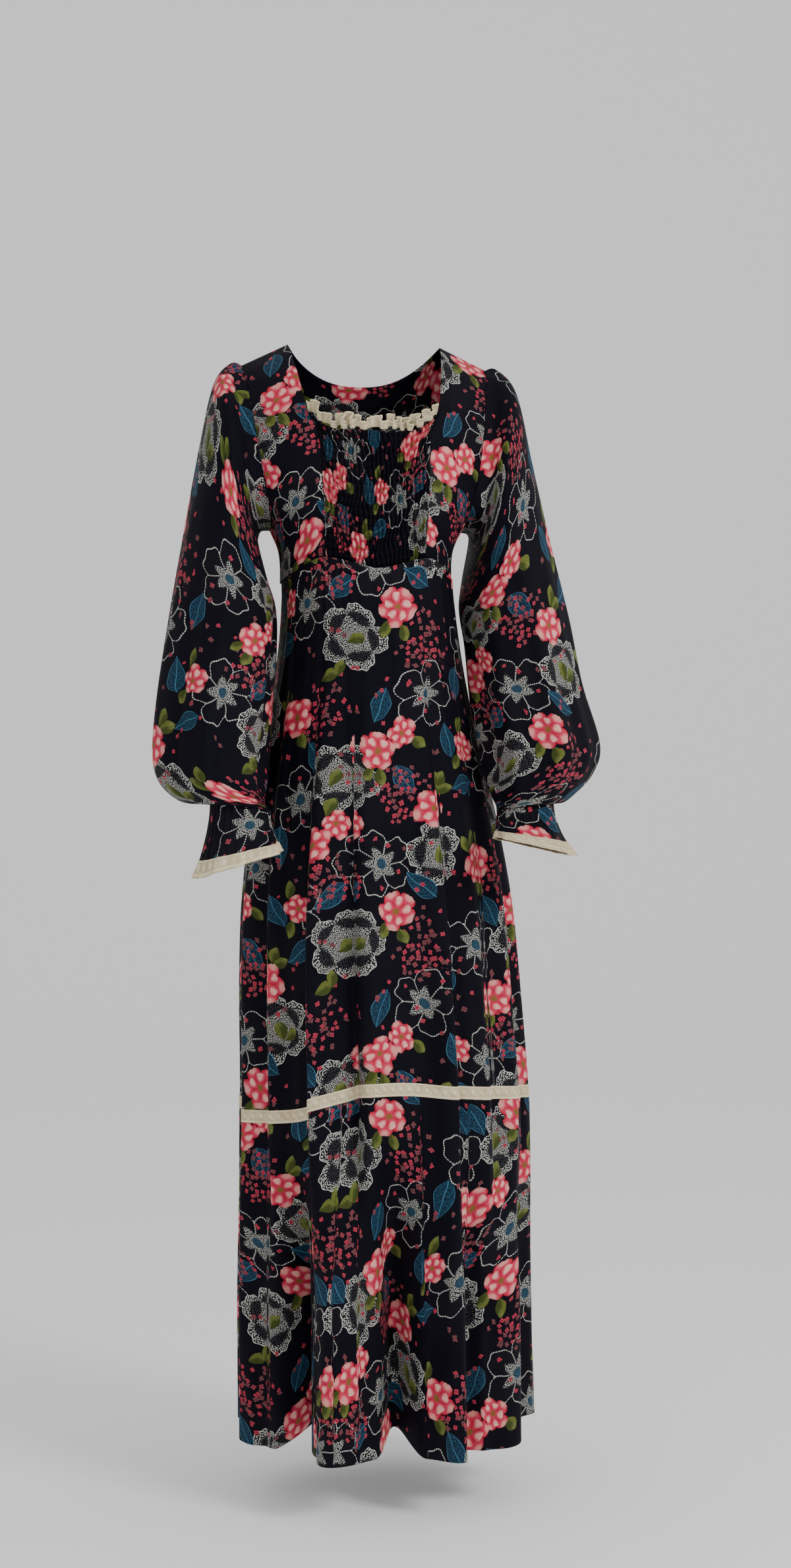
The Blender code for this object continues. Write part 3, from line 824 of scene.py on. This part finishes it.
def higher(a, b):
    return work("MAXIMUM", a, b)


def under(a, b):
    """1 where a is less than b, and 0 elsewhere."""
    return work("LESS_THAN", a, b)


def power(a, b):
    return work("POWER", a, b)


def sine(a):
    return work("SINE", a)


def cosine(a):
    return work("COSINE", a)


def middle_of(a):
    """How far a is from the middle of its step, from -0.5 to 0.5, in steps of 1."""
    return work("FRACT", a) - 0.5


def rising(a, low, high):
    """0 where a is below low, rising smoothly to 1 where it is above high."""
    node = node_of(
        "ShaderNodeMapRange", {"Value": a, "From Min": low, "From Max": high}, interpolation_type="SMOOTHSTEP"
    )
    return Value(node.outputs["Result"])


def vector(x, y, z=0.0):
    return node_of("ShaderNodeCombineXYZ", {"X": x, "Y": y, "Z": z}).outputs[0]


def parts(socket):
    node = node_of("ShaderNodeSeparateXYZ", {0: socket})
    return [Value(out) for out in node.outputs]


def vector_work(kind, a, b):
    """This operation on two vectors, as a vector socket, or as a Value where it gives a number."""
    node = node_of("ShaderNodeVectorMath", {0: a, 1: b}, operation=kind)
    return Value(node.outputs["Value"]) if kind == "DISTANCE" else node.outputs["Vector"]


def blend(share, a, b, kind="RGBA"):
    """From a, where share is 0, to b, where it is 1: colours, or vectors."""
    node = node_of("ShaderNodeMix", {}, data_type=kind)
    a_input, b_input, result = {"RGBA": (6, 7, 2), "VECTOR": (4, 5, 1)}[kind]
    for index, given in ((0, share), (a_input, a), (b_input, b)):
        if isinstance(given, (Value, bpy.types.NodeSocket)):
            Value.tree.links.new(given.socket if isinstance(given, Value) else given, node.inputs[index])
        elif kind == "RGBA" and index:
            node.inputs[index].default_value = (*given, 1)
        else:
            node.inputs[index].default_value = given
    return node.outputs[result]


def noise(place, scale, detail=1.0):
    return Value(
        node_of(
            "ShaderNodeTexNoise", {"Vector": place, "Scale": scale, "Detail": detail}, noise_dimensions="2D"
        ).outputs[0]
    )


# The print's repeat, a half drop: the next column starts half a repeat lower.
REPEAT_WIDE, REPEAT_HIGH = 0.270, 0.380
PACKED_TURN = 1e-4  # a motif's turn rides in its centre's third coordinate, too small to count as distance


def in_repeat(place):
    """The same place in the one repeat round the origin."""
    x, y, _ = parts(place)
    wrapped = work("WRAP", x, REPEAT_WIDE / 2, -REPEAT_WIDE / 2)
    dropped = y + (wrapped - x) * (REPEAT_HIGH / REPEAT_WIDE / 2)
    return vector(wrapped, work("WRAP", dropped, REPEAT_HIGH / 2, -REPEAT_HIGH / 2))


def nearest(place, motifs, reach):
    """The way from the nearest of these motifs, turned to stand upright, and how far it is.

    Each motif is (x, y, degrees), and it counts again in every repeat that its reach comes in from.
    """
    centres = []
    for x, y, degrees in motifs:
        for i in (-1, 0, 1):
            for j in (-1, 0, 1, 2, -2):
                at = (x + i * REPEAT_WIDE, y + i * REPEAT_HIGH / 2 + j * REPEAT_HIGH)
                if abs(at[0]) < REPEAT_WIDE / 2 + reach and abs(at[1]) < REPEAT_HIGH / 2 + reach:
                    centres.append((*at, math.radians(degrees) * PACKED_TURN))
    best, away = None, None
    for centre in centres:
        distance = vector_work("DISTANCE", place, centre)
        if away is None:
            best, away = centre, distance
            continue
        best = blend(under(distance, away), best, centre, "VECTOR")
        away = lower(distance, away)
    offset = vector_work("SUBTRACT", place, best)
    angle = parts(offset)[2] * (1 / PACKED_TURN)
    node = node_of("ShaderNodeVectorRotate", {"Vector": offset, "Angle": angle}, rotation_type="Z_AXIS")
    return node.outputs[0], away


ROSES = (
    # x, y, degrees
    (-0.086, 0.132, 10),
    (0.026, 0.082, 50),
    (0.098, 0.008, 20),
    (-0.040, -0.034, 65),
    (0.052, -0.118, 5),
)
SMALL_ROSES = ((0.056, 0.104, 0), (-0.010, -0.012, 45), (-0.112, -0.100, 60))
DENSE_FLOWERS = ((-0.010, 0.048, 20), (0.108, -0.048, 70), (-0.004, -0.158, 110))
OPEN_FLOWERS = ((0.088, 0.148, 40), (-0.068, -0.112, 0), (0.030, -0.060, 75), (-0.088, 0.030, -20))
BLUE_LEAVES = (
    (0.030, 0.140, 70),
    (-0.058, 0.076, -60),
    (0.062, 0.044, 120),
    (-0.016, -0.098, 35),
    (0.084, -0.086, -40),
    (-0.126, -0.020, 80),
    (-0.118, -0.152, 20),
    (0.126, 0.092, -75),
)
OLIVE_LEAVES = (
    (-0.112, 0.152, 130),
    (-0.100, 0.162, 80),
    (-0.080, 0.102, -70),
    (0.030, 0.050, -80),
    (0.014, 0.054, -130),
    (-0.014, 0.046, 70),
    (0.120, 0.030, 20),
    (0.114, 0.040, 70),
    (0.108, -0.050, 100),
    (0.122, -0.056, 30),
    (-0.064, -0.050, -140),
    (-0.048, -0.062, -100),
    (-0.128, -0.122, -120),
    (-0.121, -0.074, 75),
    (0.036, -0.142, -110),
    (0.060, -0.150, -70),
    (0.000, -0.160, 40),
    (0.078, 0.092, -40),
    (-0.018, 0.012, 60),
    (-0.030, 0.172, 20),
    (-0.018, 0.180, 80),
)
SPRAYS = ((0.056, 0.030, 0), (-0.030, -0.078, 0), (0.092, -0.170, 0), (-0.045, 0.125, 0))

GROUND = (0.0030, 0.0027, 0.0066)
WHITE = (0.46, 0.46, 0.42)
BLUE = (0.017, 0.066, 0.112)
PALE_BLUE = (0.042, 0.125, 0.195)
OLIVE = (0.105, 0.125, 0.026)
DARK_OLIVE = (0.042, 0.055, 0.012)
RED = (0.36, 0.010, 0.028)
PINK = (0.52, 0.036, 0.080)
CREAM = (0.76, 0.40, 0.34)
BROWN = (0.20, 0.100, 0.030)
CORAL = (0.38, 0.034, 0.062)
MAUVE = (0.14, 0.048, 0.054)


# The motifs' sizes: half a leaf's length, and a rose's radius.
BLUE_LEAF = 0.023
OLIVE_LEAF = 0.0120
ROSE = 0.0245
SMALL_ROSE_WIDE, SMALL_ROSE_HIGH = 0.0180, 0.0200


def in_units(offset, wide, high=None):
    """A way across the print, with a motif's own size as 1."""
    return vector_work("MULTIPLY", offset, (1 / wide, 1 / (high or wide), 0))


def rose(colour, offset):
    """Two rings of petals round a brown eye, painted over the colour, with its radius as 1."""
    x, y, _ = parts(offset)
    r = power(x * x + y * y, 0.5)
    turn_share = work("ARCTAN2", y, x) * (5 / (2 * math.pi))
    streak = noise(vector(turn_share * 4.0, r * 1.6), 1.7, 2.0)
    petal = abs(middle_of(turn_share)) * 2
    edge = 1 - power(petal, 3.4) * 0.26 - (streak - 0.5) * 0.14
    inner_petal = abs(middle_of(turn_share + 0.5)) * 2
    inner_edge = 0.68 - power(inner_petal, 2.8) * 0.20
    rim = rising(edge - r, 0.0, 0.16)
    outer = blend(rim, RED, PINK)
    light = (1 - petal) * rising(r, 0.50, 0.86) + (streak - 0.5) * 0.30
    outer = blend(rising(light, 0.30, 0.85) * 0.62, outer, CREAM)
    outer = blend(rising(petal, 0.80, 0.97) * 0.85, outer, RED)
    depth = rising(inner_edge - r, 0.0, 0.07)
    inner = blend(depth, RED, PINK)
    inner_light = (1 - inner_petal) * rising(r, 0.14, 0.46) + (streak - 0.5) * 0.30
    inner = blend(rising(inner_light, 0.26, 0.80) * 0.9, inner, CREAM)
    inner = blend(rising(inner_petal, 0.78, 0.96) * 0.9, inner, RED)
    whole = blend(under(r, inner_edge), outer, inner)
    whole = blend(rising(0.19 - r + (streak - 0.5) * 0.16, 0.0, 0.05), whole, BROWN)
    return blend(under(r, edge), colour, whole)


def leaf_shape(offset, wide):
    """How far a place is across a leaf, 1 at its edge, with x and y in half lengths."""
    x, y, _ = parts(offset)
    half = higher(1 - x * x, 0.0) * (1 + x * 0.28) * wide + 0.0001
    return abs(y) / half, x, y


def printed_colour(place):
    """The floral print at a place on the flat cloth."""
    wobble = node_of(
        "ShaderNodeTexNoise", {"Vector": place, "Scale": 28.0, "Detail": 1.0}, noise_dimensions="2D"
    )
    moved = node_of(
        "ShaderNodeVectorMath",
        {0: wobble.outputs["Color"], 1: (0.010, 0.010, 0), 2: place},
        operation="MULTIPLY_ADD",
    ).outputs[0]
    here = in_repeat(moved)

    # White and blue stipple: one layer of dots, laid out along whichever motif is on top.
    open_way, open_far = nearest(here, OPEN_FLOWERS, 0.045)
    dense_way, dense_far = nearest(here, DENSE_FLOWERS, 0.044)
    leaf_way, _ = nearest(here, BLUE_LEAVES, 0.024)
    leaf_across, leaf_x, leaf_y = leaf_shape(in_units(leaf_way, BLUE_LEAF), 0.54)
    in_leaf = under(leaf_across, 1.0)

    ox, oy, _ = parts(open_way)
    open_turn = work("ARCTAN2", oy, ox)
    open_petal = abs(middle_of(open_turn * (5 / (2 * math.pi)))) * 2
    open_edge = 0.0425 - power(open_petal, 2.6) * 0.0150 + sine(open_turn * 15.0) * 0.0012
    star = 0.0235 - open_petal * 0.0125
    in_open = under(open_far, open_edge)

    dx, dy, _ = parts(dense_way)
    dense_turn = work("ARCTAN2", dy, dx)
    dense_petal = abs(middle_of(dense_turn * (5 / (2 * math.pi)))) * 2
    dense_edge = 0.0430 - power(dense_petal, 2.4) * 0.0125 + sine(dense_turn * 20.0) * 0.0010
    in_dense = under(dense_far, dense_edge)
    # a dark crescent inside each petal, with few dots, and a dark line between the petals
    eye = abs(dense_far - 0.0255) - (1 - dense_petal * dense_petal) * 0.0072
    dense_share = rising(eye, -0.0022, 0.0012) * 0.75 + 0.25
    dense_share = dense_share * rising(1.10 - dense_petal * rising(dense_far, 0.018, 0.028), 0.0, 0.20)

    open_place = vector(open_turn * 11.0, open_far * 520.0)
    dense_place = vector(dense_turn * 13.0, dense_far * 560.0)
    leaf_place = vector(leaf_x * 12.0 + abs(leaf_y) * 9.0, leaf_y * 14.0)
    dots_at = blend(in_dense, open_place, dense_place, "VECTOR")
    dots_at = blend(in_leaf, dots_at, leaf_place, "VECTOR")
    cell = node_of(
        "ShaderNodeTexVoronoi", {"Vector": dots_at, "Scale": 1.0, "Randomness": 0.75}, voronoi_dimensions="2D"
    )
    spot = Value(cell.outputs["Distance"])

    open_share = rising(star - open_far, -0.0015, 0.0030)
    open_dot = under(spot, open_share * 0.345)
    dash = rising(sine(open_turn * 92.0), -0.75, -0.45)
    outline = under(abs(open_far - open_edge + 0.0006), 0.00075) * dash
    divide = under((1 - open_petal) * open_far, 0.0011) * under(open_far, 0.030) * under(star, open_far)
    divide = divide * under(-0.3, sine(open_far * 2600.0))
    colour = blend(in_open, GROUND, (0.0045, 0.0045, 0.0080))
    open_ink = higher(higher(open_dot, outline), divide)
    open_colour = blend(under(open_far, 0.0062), WHITE, PALE_BLUE)
    colour = blend(open_ink, colour, open_colour)

    dense_dot = under(spot, dense_share * 0.335)
    border = under(abs(dense_far - dense_edge + 0.0005), 0.0005)
    dense_ink = higher(dense_dot, border)
    dense_colour = blend(dense_ink, (0.0045, 0.0045, 0.0080), WHITE)
    colour = blend(in_dense, colour, dense_colour)

    vein = under(abs(leaf_y), 0.024)
    blue_share = rising(abs(middle_of(leaf_x * 2.6 + abs(leaf_y) * 2.2)), 0.03, 0.12)
    leaf_dot = under(spot, 0.13 + blue_share * 0.25)
    leaf_colour = blend(leaf_dot, (0.006, 0.014, 0.028), BLUE)
    leaf_line = higher(under(0.925, leaf_across), vein)
    leaf_colour = blend(leaf_line, leaf_colour, PALE_BLUE)
    colour = blend(in_leaf, colour, leaf_colour)

    # Sprays of tiny flowers, each in its own cell.
    cells = node_of(
        "ShaderNodeTexVoronoi", {"Vector": here, "Scale": 128.0, "Randomness": 0.8}, voronoi_dimensions="2D"
    )
    cell_place = cells.outputs["Position"]
    luck, shade, spin = parts(cells.outputs["Color"])
    _, spray_far = nearest(cell_place, SPRAYS, 0.060)
    tiny = vector_work("SUBTRACT", here, cell_place)
    tx, ty, _ = parts(tiny)
    tiny_r = power(tx * tx + ty * ty, 0.5)
    tiny_turn = work("ARCTAN2", ty, tx) * 2.0 + spin * 6.0
    tiny_edge = 0.0019 + abs(cosine(tiny_turn)) * (0.0012 + shade * 0.0006)
    present = under(luck + rising(spray_far, 0.012, 0.050) * 0.90, 0.97)
    tiny_ink = under(tiny_r, tiny_edge) * present
    tiny_colour = blend(rising(shade, 0.25, 0.75), CORAL, MAUVE)
    tiny_colour = blend(under(tiny_r, 0.0008), tiny_colour, (0.12, 0.02, 0.03))
    colour = blend(tiny_ink, colour, tiny_colour)

    # Olive leaves, then roses, on top of everything.
    olive_way, _ = nearest(here, OLIVE_LEAVES, 0.013)
    olive_across, olive_x, olive_y = leaf_shape(in_units(olive_way, OLIVE_LEAF), 0.60)
    olive = blend(rising(olive_y, -0.08, 0.30), DARK_OLIVE, OLIVE)
    olive = blend(rising(olive_x * (1 - olive_across), 0.1, 0.6) * 0.5, olive, (0.28, 0.30, 0.09))
    side_veins = under(abs(middle_of(olive_x * 2.4 + abs(olive_y) * 2.0)), 0.055)
    olive_vein = higher(under(abs(olive_y), 0.05), side_veins)
    olive = blend(olive_vein * 0.7, olive, DARK_OLIVE)
    colour = blend(under(olive_across, 1.0), colour, olive)

    big_way, big_far = nearest(here, ROSES, 0.026)
    small_way, small_far = nearest(here, SMALL_ROSES, 0.020)
    big_at = in_units(big_way, ROSE)
    small_at = in_units(small_way, SMALL_ROSE_WIDE, SMALL_ROSE_HIGH)
    small_rose = (SMALL_ROSE_WIDE + SMALL_ROSE_HIGH) / 2
    rose_at = blend(under(big_far * (1 / ROSE), small_far * (1 / small_rose)), small_at, big_at, "VECTOR")
    return rose(colour, rose_at)


def cloth_finish(name, weave_strength):
    """Printed voile: the print, uneven dye, and a fine weave in its bump."""
    made = bpy.data.materials.new(name)
    made.use_nodes = True
    Value.tree = made.node_tree
    shader = made.node_tree.nodes["Principled BSDF"]
    place = node_of("ShaderNodeUVMap", {}, uv_map="Cloth").outputs[0]
    colour = printed_colour(place)
    fading = noise(place, 9.0, 2.0)
    colour = blend(rising(fading, 0.3, 0.8) * 0.02, colour, (0.14, 0.11, 0.13))
    made.node_tree.links.new(colour, shader.inputs["Base Color"])
    x, y, _ = parts(place)
    weave = sine(x * 9000.0) * sine(y * 9000.0) * 0.5 + noise(place, 900.0, 2.0)
    bump = node_of("ShaderNodeBump", {"Strength": weave_strength, "Distance": 0.0004, "Height": weave})
    made.node_tree.links.new(bump.outputs[0], shader.inputs["Normal"])
    rough = 0.60 + (fading - 0.5) * 0.2
    made.node_tree.links.new(rough.socket, shader.inputs["Roughness"])
    shader.inputs["Specular IOR Level"].default_value = 0.045
    shader.inputs["Sheen Weight"].default_value = 0.012
    shader.inputs["Sheen Roughness"].default_value = 0.45
    return made


def lace_finish():
    """Cream cotton lace: a net with a row of small flowers between two corded edges."""
    made = bpy.data.materials.new("cream_lace")
    made.use_nodes = True
    Value.tree = made.node_tree
    shader = made.node_tree.nodes["Principled BSDF"]
    place = node_of("ShaderNodeUVMap", {}, uv_map="Cloth").outputs[0]
    x, y, _ = parts(place)
    net = higher(abs(sine((x + y) * 2100.0)), abs(sine((x - y) * 2100.0)))
    bloom_x = middle_of(x * (1 / 0.0115)) * 0.0115
    bloom_y = middle_of(y * (1 / 0.0150)) * 0.0150
    bloom_r = power(bloom_x * bloom_x + bloom_y * bloom_y, 0.5)
    bloom_edge = 0.0026 + cosine(work("ARCTAN2", bloom_y, bloom_x) * 5.0) * 0.0009
    solid = under(bloom_r, bloom_edge)
    solid = higher(solid, under(abs(bloom_y - sine(x * (2 * math.pi / 0.0115)) * 0.0042), 0.0007))
    thread = higher(solid, rising(net, 0.62, 0.86))
    thread = higher(thread, under(0.0058, abs(bloom_y)))
    stain = noise(place, 60.0, 2.0)
    cream = blend(rising(stain, 0.3, 0.7), (0.78, 0.68, 0.46), (0.66, 0.55, 0.34))
    colour = blend(thread, (0.155, 0.120, 0.080), cream)
    made.node_tree.links.new(colour, shader.inputs["Base Color"])
    height = thread + noise(place, 1400.0, 1.0) * 0.5
    bump = node_of("ShaderNodeBump", {"Strength": 0.7, "Distance": 0.0006, "Height": height})
    made.node_tree.links.new(bump.outputs[0], shader.inputs["Normal"])
    shader.inputs["Roughness"].default_value = 0.85
    shader.inputs["Specular IOR Level"].default_value = 0.2
    return made


def paper_finish():
    """The pale backdrop, which glows faintly so that it stays even far from the lamps."""
    made = bpy.data.materials.new("backdrop")
    made.use_nodes = True
    shader = made.node_tree.nodes["Principled BSDF"]
    shader.inputs["Base Color"].default_value = (0.90, 0.90, 0.90, 1)
    shader.inputs["Roughness"].default_value = 0.9
    shader.inputs["Emission Color"].default_value = (1, 1, 1, 1)
    shader.inputs["Emission Strength"].default_value = 0.09
    return made


def build_studio():
    """The camera, soft light, and a pale sweep whose wall is farther out than the camera."""
    camera = bpy.data.objects.new("camera", bpy.data.cameras.new("camera"))
    bpy.context.scene.collection.objects.link(camera)
    camera.location = (-0.4346, -3.372, -0.555)
    camera.rotation_euler = (math.radians(90), 0, math.radians(-8))
    camera.data.lens = 61.7
    camera.data.sensor_width = 36
    bpy.context.scene.camera = camera

    floor_z, near, far, radius, half_width = -1.445, -9.0, 7.5, 2.5, 9.0
    profile = [(near, floor_z), (far - radius, floor_z)]
    for i in range(1, 25):
        a = math.radians(90 * i / 24)
        profile.append((far - radius + radius * math.sin(a), floor_z + radius * (1 - math.cos(a))))
    profile.append((far, 7.0))
    verts = [(x, y, z) for y, z in profile for x in (-half_width, half_width)]
    faces = [(2 * i, 2 * i + 1, 2 * i + 3, 2 * i + 2) for i in range(len(profile) - 1)]
    mesh = bpy.data.meshes.new("backdrop")
    mesh.from_pydata(verts, [], faces)
    mesh.shade_smooth()
    mesh.materials.append(paper_finish())
    backdrop = bpy.data.objects.new("backdrop", mesh)
    bpy.context.scene.collection.objects.link(backdrop)

    def lamp(name, place, aim, watts, size):
        light = bpy.data.lights.new(name, "AREA")
        light.energy = watts
        light.shape = "DISK"
        light.size = size
        lit = bpy.data.objects.new(name, light)
        lit.location = place
        x, y, z = (aim[k] - place[k] for k in range(3))
        lit.rotation_euler = (math.atan2(math.hypot(x, y), -z), 0, math.atan2(-x, y))
        bpy.context.scene.collection.objects.link(lit)

    lamp("key", (1.8, -2.3, 1.0), (0, 0, -0.45), 62, 1.1)
    lamp("fill", (-2.4, -2.6, 0.2), (0, 0, -0.5), 12, 2.4)
    world = bpy.data.worlds.new("studio")
    world.use_nodes = True
    world.node_tree.nodes["Background"].inputs["Color"].default_value = (1, 1, 1, 1)
    world.node_tree.nodes["Background"].inputs["Strength"].default_value = 0.80
    bpy.context.scene.world = world


build_studio()
printed = cloth_finish("printed_voile", 0.35)
shirring = cloth_finish("shirred_voile", 0.55)
cream_lace = lace_finish()
build_bodice(printed, shirring, cream_lace)
build_sleeve("left", 1, printed, cream_lace)
build_sleeve("right", -1, printed, cream_lace)
build_skirt(printed, cream_lace)
